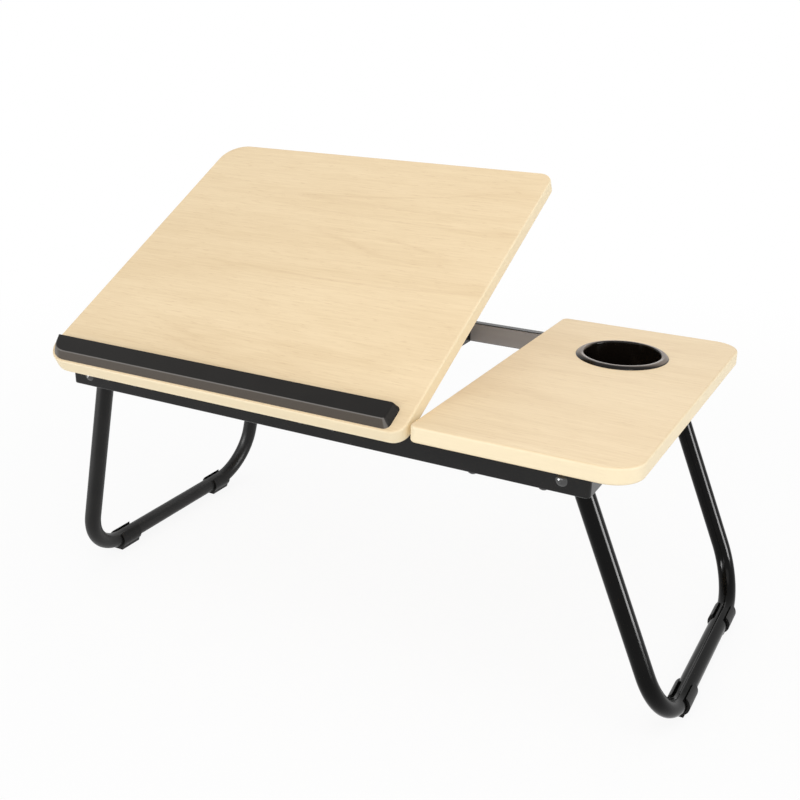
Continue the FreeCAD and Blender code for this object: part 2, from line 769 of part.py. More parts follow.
CLIP_CENTRES = ("bail_left + clip_place", "bail_right - clip_place")
CLIP_SCREWS_U = [f"prop_arm + {sign} * clip_screw_place" for sign in (-1, 1)]
small_bites = new_sketch(tilt_panel, "XY", "pin_drop")
for screw_x in LEAF_SCREWS_X:
    draw_circle(small_bites, screw_x, "leaf_screw_reach", "small_screw_r + screw_clear")
for clip_centre in CLIP_CENTRES:
    for screw_u in CLIP_SCREWS_U:
        draw_circle(small_bites, clip_centre, screw_u, "small_screw_r + screw_clear")
cut(tilt_panel, small_bites, "leaf_high - pin_drop + small_screw_bite + side_clear", reverse=True)

BAR_SCREWS_X = ("bar_left + bar_screw_inset", "(bar_left + bar_right) / 2", "bar_right - bar_screw_inset")
bar_holes = new_sketch(tilt_panel, "XY", "pin_drop")
for screw_x in BAR_SCREWS_X:
    draw_circle(bar_holes, screw_x, "bar_middle", "small_screw_r + screw_clear")
cut(tilt_panel, bar_holes)
hole_width = 2 * value("small_screw_r + screw_clear")
dress(tilt_panel, "Chamfer",
      lambda edge: level(edge, "pin_drop") and near(edge.BoundBox.XLength, hole_width)
      and near(edge.BoundBox.Center.y, value("bar_middle")),
      Size="leaf_thick")
pieces.append(tilt_panel)

moving_screw = flush_screw("moving_screw_pattern", "small_screw_r", "leaf_thick + small_screw_bite")
tilt_turn = FreeCAD.Placement(
    Vector(0, value("hinge_y"), value("hinge_z")), FreeCAD.Rotation(TILT[0], value(TILT[1])))


def on_tilt(x, u, v):
    """A place on the tilting board, with its own Z axis along the board's upward normal."""
    return tilt_turn.multiply(facing(x, u, v, (0, 0, 1)))


pieces.append(placed_copies("moving_leaf_screws", moving_screw, [
    on_tilt(x, "leaf_screw_reach", "leaf_low") for x in LEAF_SCREWS_X
]))


# Stop bar along the tilting board's front edge, with sloping sides and screws from below

stop_bar = new_body("stop_bar", "0", "hinge_y", "hinge_z", TILT)
bar_base = new_sketch(stop_bar, "XY", "pin_drop + board_thick")
end_arc = "outer_corner - bar_margin"
end_reach = f"sqrt(({end_arc}) ^ 2 - ({end_arc} - bar_depth) ^ 2)"
draw(bar_base, [
    (f"bar_left + {end_arc}", "bar_front", end_arc, True),
    ("bar_right - bar_corner", "bar_front"),
    ("bar_right", "bar_front + bar_corner", "bar_corner", True),
    ("bar_right", "bar_back - bar_corner"),
    ("bar_right - bar_corner", "bar_back", "bar_corner", True),
    (f"bar_left + {end_arc} - {end_reach}", "bar_back"),
])
bar_pad = pad(stop_bar, bar_base, "bar_height")
bind(bar_pad, "TaperAngle", "-bar_slope")
dress(stop_bar, "Fillet", lambda edge: level(edge, "pin_drop + board_thick + bar_height"), Radius="bar_round")
bar_bites = new_sketch(stop_bar, "XY", "pin_drop + board_thick")
for screw_x in BAR_SCREWS_X:
    draw_circle(bar_bites, screw_x, "bar_middle", "small_screw_r + screw_clear")
cut(stop_bar, bar_bites, "bar_height / 2 + screw_clear * 10", reverse=True)
pieces.append(stop_bar)

bar_screw = flush_screw("bar_screw_pattern", "small_screw_r", "board_thick + bar_height / 2")
pieces.append(placed_copies("stop_bar_screws", bar_screw, [
    on_tilt(x, "bar_middle", "pin_drop") for x in BAR_SCREWS_X
]))


# Prop: a wire bail that swings in two saddle clips under the tilting board

def saddle_clip(label, centre):
    body = new_body(label, "0", "hinge_y", "hinge_z", TILT)
    boss = "wire_r + clip_wall"

    def side_sketch():
        return new_sketch(body, "YZ", centre)

    ears = draw_box(side_sketch(), "prop_arm - clip_ear", "pin_drop - clip_ear_thick",
                    "prop_arm + clip_ear", "pin_drop")
    pad(body, ears, "clip_width", True)
    saddle = draw(side_sketch(), [
        (f"prop_arm - ({boss})", "pin_drop"),
        (f"prop_arm - ({boss})", "0"),
        ("prop_arm", f"-({boss})", boss, True),
        (f"prop_arm + {boss}", "0", boss, True),
        (f"prop_arm + {boss}", "pin_drop"),
    ])
    pad(body, saddle, "clip_width", True)
    cut(body, draw_circle(side_sketch(), "prop_arm", "0", "wire_r + run_clear"))
    cross_holes(body, "small_screw_r + screw_clear", [(centre, u) for u in CLIP_SCREWS_U], "XY")
    return body


for clip_name, clip_centre in zip(("left", "right"), CLIP_CENTRES):
    pieces.append(saddle_clip(f"{clip_name}_prop_clip", clip_centre))

clip_screw = pan_screw("clip_screw_pattern", "small_screw_r", "clip_ear_thick + small_screw_bite")
pieces.append(placed_copies("prop_clip_screws", clip_screw, [
    on_tilt(x, u, "pin_drop - clip_ear_thick") for x in CLIP_CENTRES for u in CLIP_SCREWS_U
]))

prop_bail = new_body(
    "prop_bail", "0", "hinge_y + prop_arm * cos(tilt_angle)", "hinge_z + prop_arm * sin(tilt_angle)",
    (Vector(-1, 0, 0), "tilt_angle"))
bail_route = draw(new_sketch(prop_bail, "XY"), [
    ("rack_left + foot_end", "prop_arm"),
    ("bail_left - wire_bend", "prop_arm"),
    ("bail_left", "prop_arm - wire_bend", "wire_bend", False),
    ("bail_left", "wire_bend"),
    ("bail_left + wire_bend", "0", "wire_bend", True),
    ("bail_right - wire_bend", "0"),
    ("bail_right", "wire_bend", "wire_bend", True),
    ("bail_right", "prop_arm - wire_bend"),
    ("bail_right + wire_bend", "prop_arm", "wire_bend", False),
    ("rack_right - foot_end", "prop_arm"),
], closed=False)
wire = prop_bail.newObject("PartDesign::AdditivePipe", "Pipe")
wire.Profile = draw_circle(new_sketch(prop_bail, "YZ", "rack_left + foot_end"), "prop_arm", "0", "wire_r")
wire.Spine = bail_route
pieces.append(prop_bail)


# Notched racks that the bail's feet stand on, and their screws

NOTCH_ANGLES = ("tilt_top", "tilt_angle", "notch_mid", "notch_low")


def prop_rack(label, low_x):
    body = new_body(label, low_x, "0", "rack_top")
    block = draw_box(new_sketch(body, "YZ"), "rack_front", "-rack_height", "rack_back", "0")
    pad(body, block, "rack_thick")
    notches = new_sketch(body, "YZ")
    for angle in NOTCH_ANGLES:
        draw_circle(notches, f"hinge_y + 2 * prop_arm * cos({angle})", "0", "notch_r")
    cut(body, notches)
    cross_holes(body, "small_screw_r + screw_clear", [(y, "-rack_screw_drop") for y in RACK_SCREWS_Y], "YZ")
    return body


pieces.append(prop_rack("left_prop_rack", "rack_left"))
pieces.append(prop_rack("right_prop_rack", "rack_right - rack_thick"))

rack_screw = pan_screw("rack_screw_pattern", "small_screw_r", "rack_thick + rail_wall + small_screw_r")
rack_screw_faces = (("rack_left + rack_thick", -1), ("rack_right - rack_thick", 1))
pieces.append(placed_copies("rack_screws", rack_screw, [
    facing(x, y, RACK_SCREW_Z, (direction, 0, 0))
    for x, direction in rack_screw_faces for y in RACK_SCREWS_Y
]))


# Check every object, then write each piece under its own name

doc.recompute()
for item in doc.Objects:
    if "Invalid" in item.State or "Error" in item.State:
        raise RuntimeError(f"{item.Label} failed: {item.State}")
for piece in pieces:
    if piece.Shape.isNull() or not piece.Shape.isValid():
        raise RuntimeError(f"{piece.Label} has no valid shape")

os.makedirs("parts", exist_ok=True)
for piece in pieces:
    piece.Shape.exportStep(f"parts/{piece.Label}.step")
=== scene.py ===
"""Looks for a folding lap desk: maple boards, black steel frame, black mouldings, a pale studio stage."""
import math

import bmesh
import bpy
from bpy.props import FloatProperty, FloatVectorProperty, PointerProperty
from mathutils import Matrix, Vector


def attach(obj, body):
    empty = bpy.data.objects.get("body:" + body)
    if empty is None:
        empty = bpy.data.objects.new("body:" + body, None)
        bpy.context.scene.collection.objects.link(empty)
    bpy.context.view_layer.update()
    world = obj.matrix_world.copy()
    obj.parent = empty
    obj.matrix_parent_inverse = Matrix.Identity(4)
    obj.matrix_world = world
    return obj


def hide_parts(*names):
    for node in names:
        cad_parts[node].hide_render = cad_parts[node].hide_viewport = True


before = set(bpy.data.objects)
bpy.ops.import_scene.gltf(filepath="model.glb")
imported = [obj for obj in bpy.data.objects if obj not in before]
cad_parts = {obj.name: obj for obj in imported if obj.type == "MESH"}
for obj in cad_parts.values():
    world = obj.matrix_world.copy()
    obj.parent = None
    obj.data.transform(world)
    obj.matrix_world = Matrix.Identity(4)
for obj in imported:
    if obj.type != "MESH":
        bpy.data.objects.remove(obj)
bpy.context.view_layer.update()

bl_info = {
    "name": "Lap desk looks",
    "version": (1, 0, 0),
    "blender": (4, 2, 0),
    "location": "3D View > Sidebar > Lap desk",
    "description": "Dresses the lap desk's solids with their finishes and sets up the studio",
    "category": "Object",
}

# Directions in the desk's own frame.
TILT_SLOPE = math.radians(27.7)
UP = (0, 0, 1)
TO_USER = (0, -1, 0)
UP_SLOPE = Vector((0, math.cos(TILT_SLOPE), math.sin(TILT_SLOPE)))

# Nodes by finish. Each board comes with the direction that its top looks in.
BOARD_FACES = {
    "tilt_panel": (0, -math.sin(TILT_SLOPE), math.cos(TILT_SLOPE)),
    "side_panel": UP,
}
RAILS = ("front_rail", "left_end_rail", "right_end_rail", "centre_rail")
HINGES = ("left_hinge_fixed_leaf", "right_hinge_fixed_leaf", "left_hinge_moving_leaf",
          "right_hinge_moving_leaf", "left_hinge_pin", "right_hinge_pin")
RIVETS = ("left_leg_rivets", "right_leg_rivets")
FEET = ("left_front_foot", "left_rear_foot", "right_front_foot", "right_rear_foot")
MOULDINGS = ("pivot_bushes", "left_prop_rack", "right_prop_rack", "left_prop_clip", "right_prop_clip")
BLACK_SCREWS = ("side_panel_screws", "fixed_leaf_screws")
ZINC_SCREWS = ("moving_leaf_screws", "stop_bar_screws", "prop_clip_screws", "rack_screws")

# How much clouds, grain and growth rings darken the maple, how far pores and growth lines take on their
# own colours, and how far the boards' edges are painted paler as painted light.
CLOUD_SHARE, GRAIN_SHARE, RING_SHARE = 0.4, 0.38, 0.12
PORE_STRENGTH, LINE_STRENGTH, EDGE_LIGHT_STRENGTH = 0.4, 0.2, 0.75
RING_COUNT = 14

MICRON = 0.000001
RIM_FADE = 0.001
ZINC_TINT = (0.86, 0.87, 0.93)

# The photograph's side and the camera's focal length, in pixels; the sensor's width in millimetres.
IMAGE_SIDE = 800
FOCAL_PIXELS = 1095.66
SENSOR_WIDTH = 36
NEAR_CLIP = 0.01

# The floor lies just under the feet. What the eye sees of it is mostly its own white, and all of it
# far out.
FLOOR_DROP = 0.0004
FLOOR_SIDES = 96
FLOOR_GLOW = 0.9
FADE_START, FADE_END = 0.45, 1.5

# Each lamp's power setting, width, height, place and target. Cards show in shiny surfaces alone.
DESK_MIDDLE = (0, 0, 0.25)
RIGHT_LEG = (0.25, 0, 0.15)
SOFT_BOXES = {
    "front_box": ("front_power", 1.8, 0.5, (-0.2, -2.4, 0.9), DESK_MIDDLE),
    "top_box": ("top_power", 0.7, 0.7, (0.5, -0.5, 1.15), DESK_MIDDLE),
    "right_box": ("right_power", 0.6, 0.5, (1.9, 0.0, 0.3), RIGHT_LEG),
}
GLINT_CARDS = {
    "side_card": ("side_glint", 0.6, 0.5, (1.75, 0.0, 0.3), RIGHT_LEG),
    "left_card": ("left_glint", 0.8, 0.5, (-1.2, -1.6, 0.3), (0, 0, 0.2)),
    "high_card": ("high_glint", 0.9, 0.9, (-1.3, -1.1, 1.7), DESK_MIDDLE),
    "back_card": ("back_glint", 0.7, 0.7, (-0.18, 1.43, 1.15), (0.2, 0, 0.25)),
}


class Flow:
    """One socket of a node tree, so that shader maths reads as Python sums."""

    def __init__(self, tree, socket=None):
        self.tree = tree
        self.socket = socket

    def node(self, kind, settings=None, inputs=None, output=0):
        """Adds a node: its settings first, then the values or links of its sockets."""
        made = self.tree.nodes.new(kind)
        for name, setting in (settings or {}).items():
            setattr(made, name, setting)
        for name, given in (inputs or {}).items():
            connect(made.inputs[name], given)
        return Flow(self.tree, made.outputs[output])

    def maths(self, operation, first, second):
        return self.node("ShaderNodeMath", {"operation": operation}, {0: first, 1: second})

    def __add__(self, other):
        return self.maths("ADD", self, other)

    def __radd__(self, other):
        return self.maths("ADD", other, self)

    def __sub__(self, other):
        return self.maths("SUBTRACT", self, other)

    def __rsub__(self, other):
        return self.maths("SUBTRACT", other, self)

    def __mul__(self, other):
        return self.maths("MULTIPLY", self, other)

    def __rmul__(self, other):
        return self.maths("MULTIPLY", other, self)

    def stretched(self, along, across):
        """This place scaled one way along the desk's width and another way across it."""
        return self.node("ShaderNodeVectorMath", {"operation": "MULTIPLY"},
                         {0: self, 1: (along, across, across)})

    def reach(self, direction):
        """How far this vector reaches in a direction."""
        return self.node("ShaderNodeVectorMath", {"operation": "DOT_PRODUCT"},
                         {0: self, 1: direction}, output="Value")

    def facing(self, direction):
        """How squarely the solid's surface looks in a direction: 1 straight on, 0 side on."""
        return self.node("ShaderNodeTexCoord", output="Normal").reach(direction)

    def noise(self, scale=1.0, detail=2.0, roughness=0.5, distortion=0.0):
        return self.node("ShaderNodeTexNoise", None, {
            "Vector": self, "Scale": scale, "Detail": detail, "Roughness": roughness,
            "Distortion": distortion,
        })

    def spread(self, low, high):
        """This value from low to high, as 0 to 1 with soft ends."""
        return self.node("ShaderNodeMapRange", {"interpolation_type": "SMOOTHSTEP"},
                         {"Value": self, "From Min": low, "From Max": high})

    def blend(self, first, second):
        """A colour between two, by this value."""
        return self.node("ShaderNodeMix", {"data_type": "RGBA"}, {0: self, 6: first, 7: second},
                         output=2)

    def bump(self, microns, strength):
        return self.node("ShaderNodeBump", None,
                         {"Height": self, "Distance": microns * MICRON, "Strength": strength})


def connect(socket, given):
    """Links a flow to a socket, or sets a plain value on it."""
    if isinstance(given, Flow):
        given.tree.links.new(given.socket, socket)
    else:
        socket.default_value = given


def new_finish(name):
    """A bare material, the flow that starts its maths at the surface's place, and its shader node."""
    material = bpy.data.materials.new(name)
    material.use_nodes = True
    tree = material.node_tree
    shader = next(node for node in tree.nodes if node.type == "BSDF_PRINCIPLED")
    place = Flow(tree).node("ShaderNodeTexCoord", output="Object")
    return material, place, shader


def feed(shader, **values):
    """Links or sets the shader's sockets by name, with _ for each space."""
    for name, given in values.items():
        connect(shader.inputs[name.replace("_", " ")], given)


def dress(nodes, material):
    """Puts a finish on every slot of the named solids."""
    for name in nodes:
        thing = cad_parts.get(name)
        if thing is None:
            raise RuntimeError(f"the frame has no node {name}")
        if not thing.material_slots:
            thing.data.materials.append(material)
        for slot in thing.material_slots:
            slot.material = material


def rgba(colour, gain=1.0):
    return (*(gain * part for part in colour), 1)


def maple_foil(finish, name, face):
    """Pale maple: soft clouds, growth lines, fine grain and short pores along the width, and edges
    painted paler as painted light.
    """
    material, place, shader = new_finish(name)
    clouds = place.stretched(2.2, 16).noise(detail=3, roughness=0.55, distortion=0.6)
    figure = place.stretched(1.1, 7).noise(detail=2, roughness=0.45, distortion=0.9)
    rings = figure.maths("PINGPONG", figure * RING_COUNT, 1.0)
    lines = rings.spread(0.9, 1.0) * place.stretched(5, 30).noise().spread(0.42, 0.62)
    fibres = place.stretched(1 / finish.grain_length, 1 / finish.grain_width)
    grain = fibres.noise(detail=5, roughness=0.65, distortion=0.5)
    pores = place.stretched(70, 620).noise(detail=3, roughness=0.65, distortion=0.3).spread(0.56, 0.72)
    tone = (clouds.spread(0.3, 0.75) * CLOUD_SHARE + grain.spread(0.3, 0.72) * GRAIN_SHARE
            + rings * RING_SHARE)
    wood = tone.blend(rgba(finish.maple_pale), rgba(finish.maple_streak))
    marks = pores * PORE_STRENGTH + lines * LINE_STRENGTH
    wood = marks.blend(wood, rgba(finish.maple_pore))
    # Painted light: faces that turn away from the board's top are painted paler.
    flatness = place.facing(face)
    edge = (1.0 - flatness * flatness).spread(0.05, 0.95)
    wood = (edge * EDGE_LIGHT_STRENGTH).blend(wood, rgba(finish.maple_edge_light))
    relief = grain * 0.6 - pores * 0.4
    feed(shader, Base_Color=wood, Roughness=0.4 + grain * 0.14, Specular_IOR_Level=0.14,
         Normal=relief.bump(microns=50, strength=0.35))
    return material


def gloss_paint(finish, name, shine, dullness, lift):
    """Black powder coat with a faint orange peel and a few duller patches."""
    material, place, shader = new_finish(name)
    peel = place.noise(scale=620)
    dull = place.noise(scale=22, detail=3, roughness=0.6).spread(0.35, 0.75)
    shade = dull.blend(rgba(finish.paint_black, lift), rgba(finish.paint_black, 1.4 * lift))
    feed(shader, Base_Color=shade, Roughness=dullness + dull * 0.06 + peel * 0.04,
         Specular_IOR_Level=shine, Normal=peel.bump(microns=30, strength=0.2))
    return material


def rubbed_paint(finish):
    """The rear rail's black coat, with a painted reflection: the face that looks to the user is painted
    grey in streaks.
    """
    material, place, shader = new_finish("rubbed_paint")
    streaks = place.stretched(9, 160).noise(detail=3, roughness=0.6)
    # Painted reflection: the face toward the user is painted grey, in streaks.
    inner = place.facing(TO_USER).spread(0.8, 1.0)
    reflection = inner * (0.85 + streaks * 0.3)
    shade = reflection.blend(rgba(finish.paint_black), rgba(finish.rail_reflection))
    feed(shader, Base_Color=shade, Roughness=0.2 + inner * 0.25 + streaks * 0.06,
         Specular_IOR_Level=0.3, Normal=streaks.bump(microns=30, strength=0.2))
    return material


def gloss_dome(finish):
    """Black lacquer on the rivets' domes and the screws that show."""
    material, place, shader = new_finish("gloss_dome")
    peel = place.noise(scale=900)
    scuffs = place.noise(scale=260, detail=3, roughness=0.6).spread(0.6, 0.8)
    shade = scuffs.blend(rgba(finish.paint_black), rgba(finish.scuff))
    feed(shader, Base_Color=shade, Roughness=0.16 + scuffs * 0.2, Specular_IOR_Level=1.0,
         Normal=peel.bump(microns=20, strength=0.2))
    return material


def bar_plastic(finish):
    """Matte charcoal moulding with a fine texture, with painted light on its front slope and a painted
    highlight on its crest.
    """
    material, place, shader = new_finish("bar_plastic")
    cells = place.noise(scale=1500, detail=3, roughness=0.6)
    cloud = place.noise(scale=30, detail=3, roughness=0.55).spread(0.3, 0.75)
    shade = cloud.blend(rgba(finish.bar_charcoal), rgba(finish.bar_charcoal, 1.35))
    front = place.facing(TO_USER)
    # Painted light: the front slope is painted paler and warmer.
    slope = front.spread(0.5, 0.8) * (0.7 + cells * 0.4)
    shade = slope.blend(shade, rgba(finish.bar_front_light))
    # Painted highlight along the crest between the top and the front slope.
    crest = front.spread(0.5, 0.75) * (1.0 - front.spread(0.9, 0.995))
    shade = (crest * 0.8).blend(shade, rgba(finish.bar_crest_highlight))
    feed(shader, Base_Color=shade, Roughness=0.5 + cells * 0.16, Specular_IOR_Level=0.16,
         Normal=cells.bump(microns=60, strength=0.4))
    return material


def deepen_bar(corner, reach):
    """The stop bar's form, drawn out up the board's slope between its front and back corners."""
    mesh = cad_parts["stop_bar"].data.copy()
    places = [vertex.co.dot(UP_SLOPE) for vertex in mesh.vertices]
    start, stop = min(places) + corner, max(places) - corner
    for vertex, place in zip(mesh.vertices, places):
        share = min(max((place - start) / (stop - start), 0), 1)
        vertex.co += UP_SLOPE * reach * share * share * (3 - 2 * share)
    bar = bpy.data.objects.new("deep_stop_bar", mesh)
    bpy.context.collection.objects.link(bar)
    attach(bar, "tilt_top")
    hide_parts("stop_bar")
    return bar


def satin_plastic(finish):
    """Satin black moulding of the feet, racks, clips and bushes."""
    material, place, shader = new_finish("satin_plastic")
    cells = place.noise(scale=1100, roughness=0.6)
    rubbed = place.noise(scale=90, detail=3, roughness=0.6).spread(0.45, 0.8)
    shade = rubbed.blend(rgba(finish.plastic_black), rgba(finish.plastic_black, 1.6))
    feed(shader, Base_Color=shade, Roughness=0.36 + rubbed * 0.1 + cells * 0.08,
         Specular_IOR_Level=0.14, Normal=cells.bump(microns=40, strength=0.4))
    return material


def gloss_plastic(finish):
    """Polished black moulding of the cup holder, with a slight ripple and a painted highlight on the top
    of its rim.
    """
    material, place, shader = new_finish("gloss_plastic")
    ripple = place.noise(scale=160)
    haze = place.noise(scale=55, detail=4, roughness=0.65).spread(0.5, 0.85)
    shade = haze.blend(rgba(finish.cup_black), rgba(finish.cup_black, 1.8))
    # Painted highlight: the top of the rim, except where it faces the user, is painted paler.
    high = place.reach(UP).spread(finish.rim_highlight_height - RIM_FADE, finish.rim_highlight_height)
    rim = high * (1.0 - place.facing(TO_USER).spread(0.05, 0.4))
    shade = rim.blend(shade, rgba(finish.cup_rim_highlight))
    feed(shader, Base_Color=shade, Roughness=0.12 + haze * 0.1, Specular_IOR_Level=0.18,
         Normal=ripple.bump(microns=80, strength=0.2))
    return material


def zinc_plate(finish):
    """Bright zinc plate with drawn streaks and a cloudy tint."""
    material, place, shader = new_finish("zinc_plate")
    drawn = place.stretched(40, 1300).noise(detail=3, roughness=0.6)
    cloud = place.noise(scale=140, detail=3, roughness=0.6).spread(0.3, 0.75)
    tinted = [part * tint for part, tint in zip(finish.zinc, ZINC_TINT)]
    shade = cloud.blend(rgba(finish.zinc), rgba(tinted))
    feed(shader, Base_Color=shade, Roughness=0.26 + drawn * 0.16 + cloud * 0.06, Metallic=1.0,
         Normal=drawn.bump(microns=20, strength=0.3))
    return material


def colour_prop(name, description, default):
    return FloatVectorProperty(name=name, description=description, default=default, size=3,
                               min=0.0, max=1.0, subtype="COLOR")


def length_prop(name, description, default):
    return FloatProperty(name=name, description=description, default=default, min=0.0,
                         unit="LENGTH", precision=4)


def power_prop(name, description, default):
    return FloatProperty(name=name, description=description, default=default, min=0.0,
                         subtype="POWER", unit="POWER")


class LapDeskFinish(bpy.types.PropertyGroup):
    """Colours and grain of the desk's finishes, and the stop bar's added depth."""
    maple_pale: colour_prop("Maple", "Pale wood between the streaks", (0.875, 0.705, 0.465))
    maple_streak: colour_prop("Maple streak", "Darker wood in the streaks", (0.735, 0.56, 0.34))
    maple_pore: colour_prop("Maple pore", "Pores and growth lines", (0.64, 0.45, 0.26))
    # Painted light on the boards' edges.
    maple_edge_light: colour_prop("Maple edge", "Painted light on the boards' edges", (0.95, 0.83, 0.59))
    grain_width: length_prop("Grain width", "Width of one fine streak", 0.0022)
    grain_length: length_prop("Grain length", "Length of one fine streak", 0.045)
    paint_black: colour_prop("Frame paint", "Black coat on the metal frame", (0.008, 0.0077, 0.0075))
    # Painted reflection on the rear rail's face toward the user.
    rail_reflection: colour_prop("Rail dust", "Painted reflection on the rear rail's inner face", (0.30, 0.278, 0.27))
    scuff: colour_prop("Scuff", "Rubbed spots on the rivets", (0.06, 0.06, 0.06))
    bar_charcoal: colour_prop("Stop bar", "Matte moulding of the stop bar", (0.006, 0.005, 0.0042))
    # Painted light on the front slope, and a painted highlight on the crest.
    bar_front_light: colour_prop("Stop bar front", "Painted light on the bar's front slope", (0.08, 0.065, 0.051))
    bar_crest_highlight: colour_prop("Stop bar crest", "Painted highlight on the edge above the front slope", (0.17, 0.16, 0.15))
    bar_corner: length_prop("Stop bar corner", "Front and back strips that keep their form", 0.006)
    bar_reach: length_prop("Stop bar reach", "Depth added to the stop bar up the slope", 0.0055)
    plastic_black: colour_prop("Small mouldings", "Feet, racks, clips, bushes", (0.008, 0.0077, 0.0075))
    cup_black: colour_prop("Cup holder", "Polished cup moulding", (0.0055, 0.004, 0.0028))
    # Painted highlight on the rim's top.
    cup_rim_highlight: colour_prop("Cup rim", "Painted highlight on the top of the cup's rim", (0.16, 0.125, 0.10))
    rim_highlight_height: length_prop("Rim height", "Height at which the painted highlight on the rim is strongest", 0.267)
    zinc: colour_prop("Zinc", "Plate on hidden screws and prop bail", (0.66, 0.66, 0.67))


class LapDeskStage(bpy.types.PropertyGroup):
    """Camera, floor and light."""
    camera_place: FloatVectorProperty(
        name="Camera place", description="Where the camera stands",
        default=(0.48469, -0.92599, 0.60497), subtype="TRANSLATION", unit="LENGTH")
    camera_turn: FloatVectorProperty(
        name="Camera turn", description="Turn to the left, tilt down and roll",
        default=(math.radians(28.156), math.radians(20.696), math.radians(0.728)), subtype="EULER",
        unit="ROTATION")
    focal_length: FloatProperty(
        name="Focal length", description="In image widths", default=FOCAL_PIXELS / IMAGE_SIDE, min=0.1)
    floor_reach: length_prop("Floor reach", "Radius of the floor", 5.0)
    floor_colour: colour_prop("Floor", "Pale floor", (0.9, 0.9, 0.9))
    sky_level: FloatProperty(
        name="Sky", description="Even light from all round", default=0.8, min=0.0)
    front_power: power_prop("Front", "Broad soft box in front", 9.5)
    top_power: power_prop("Top", "Overhead soft box", 2.8)
    right_power: power_prop("Right", "Weak soft box on the right", 2.2)
    side_glint: power_prop("Side glint", "Card on the right", 33.0)
    left_glint: power_prop("Left glint", "Card low on the left", 42.0)
    high_glint: power_prop("High glint", "Card high on the left", 10.0)
    back_glint: power_prop("Back glint", "Card behind the desk", 3.4)


class LAPDESK_OT_boards(bpy.types.Operator):
    """Maple foil on the tilting board and the side board"""
    bl_idname = "lapdesk.boards"
    bl_label = "Boards"
    bl_options = {"REGISTER", "UNDO"}

    def execute(self, context):
        for name, face in BOARD_FACES.items():
            dress((name,), maple_foil(context.scene.lap_desk_finish, f"{name}_foil", face))
        return {"FINISHED"}


class LAPDESK_OT_frame_tubes(bpy.types.Operator):
    """Black paint on the rails, the hinges and the leg tubes"""
    bl_idname = "lapdesk.frame_tubes"
    bl_label = "Rails and legs"
    bl_options = {"REGISTER", "UNDO"}

    def execute(self, context):
        finish = context.scene.lap_desk_finish
        rails = gloss_paint(finish, "rail_paint", shine=0.24, dullness=0.07, lift=1.0)
        # Lit and shaded copies of one black paint: lift paints the right leg tube darker than the left as
        # painted shade; shine and dullness differ too.
        left_leg = gloss_paint(finish, "satin_leg_paint", shine=0.2, dullness=0.36, lift=0.8)
        right_leg = gloss_paint(finish, "gloss_leg_paint", shine=0.09, dullness=0.1, lift=0.35)
        dress(RAILS + HINGES, rails)
        dress(("rear_rail",), rubbed_paint(finish))
        dress(("left_leg_tube",), left_leg)
        dress(("right_leg_tube",), right_leg)
        return {"FINISHED"}


class LAPDESK_OT_rivets(bpy.types.Operator):
    """Black lacquer on the leg rivets and on the screws that show"""
    bl_idname = "lapdesk.rivets"
    bl_label = "Rivets"
    bl_options = {"REGISTER", "UNDO"}

    def execute(self, context):
        dress(RIVETS + BLACK_SCREWS, gloss_dome(context.scene.lap_desk_finish))
        return {"FINISHED"}


class LAPDESK_OT_stop_bar(bpy.types.Operator):
    """A deeper stop bar in matte charcoal"""
    bl_idname = "lapdesk.stop_bar"
    bl_label = "Stop bar"
    bl_options = {"REGISTER", "UNDO"}

    def execute(self, context):
        finish = context.scene.lap_desk_finish
        bar = deepen_bar(finish.bar_corner, finish.bar_reach)
        bar.data.materials.clear()
        bar.data.materials.append(bar_plastic(finish))
        return {"FINISHED"}


class LAPDESK_OT_mouldings(bpy.types.Operator):
    """Satin black on the feet, racks, clips and bushes"""
    bl_idname = "lapdesk.mouldings"
    bl_label = "Small mouldings"
    bl_options = {"REGISTER", "UNDO"}

    def execute(self, context):
        dress(FEET + MOULDINGS, satin_plastic(context.scene.lap_desk_finish))
        return {"FINISHED"}


class LAPDESK_OT_cup(bpy.types.Operator):
    """Polished black on the cup holder"""
    bl_idname = "lapdesk.cup"
    bl_label = "Cup holder"
    bl_options = {"REGISTER", "UNDO"}

    def execute(self, context):
        dress(("cup_holder",), gloss_plastic(context.scene.lap_desk_finish))
        return {"FINISHED"}


class LAPDESK_OT_hardware(bpy.types.Operator):
    """Zinc plate on the hidden screws and the prop bail"""
    bl_idname = "lapdesk.hardware"
    bl_label = "Hardware"
    bl_options = {"REGISTER", "UNDO"}

    def execute(self, context):
        dress(ZINC_SCREWS + ("prop_bail",), zinc_plate(context.scene.lap_desk_finish))
        return {"FINISHED"}


def seen_directly(tree):
    """1 for rays that show a thing to the eye: straight, mirrored or through glass."""
    flow = Flow(tree)
    path = flow.node("ShaderNodeLightPath").socket.node
    camera, glossy, through = (
        Flow(tree, path.outputs[name])
        for name in ("Is Camera Ray", "Is Glossy Ray", "Is Transmission Ray"))
    return flow.maths("MINIMUM", camera + glossy + through, 1.0)


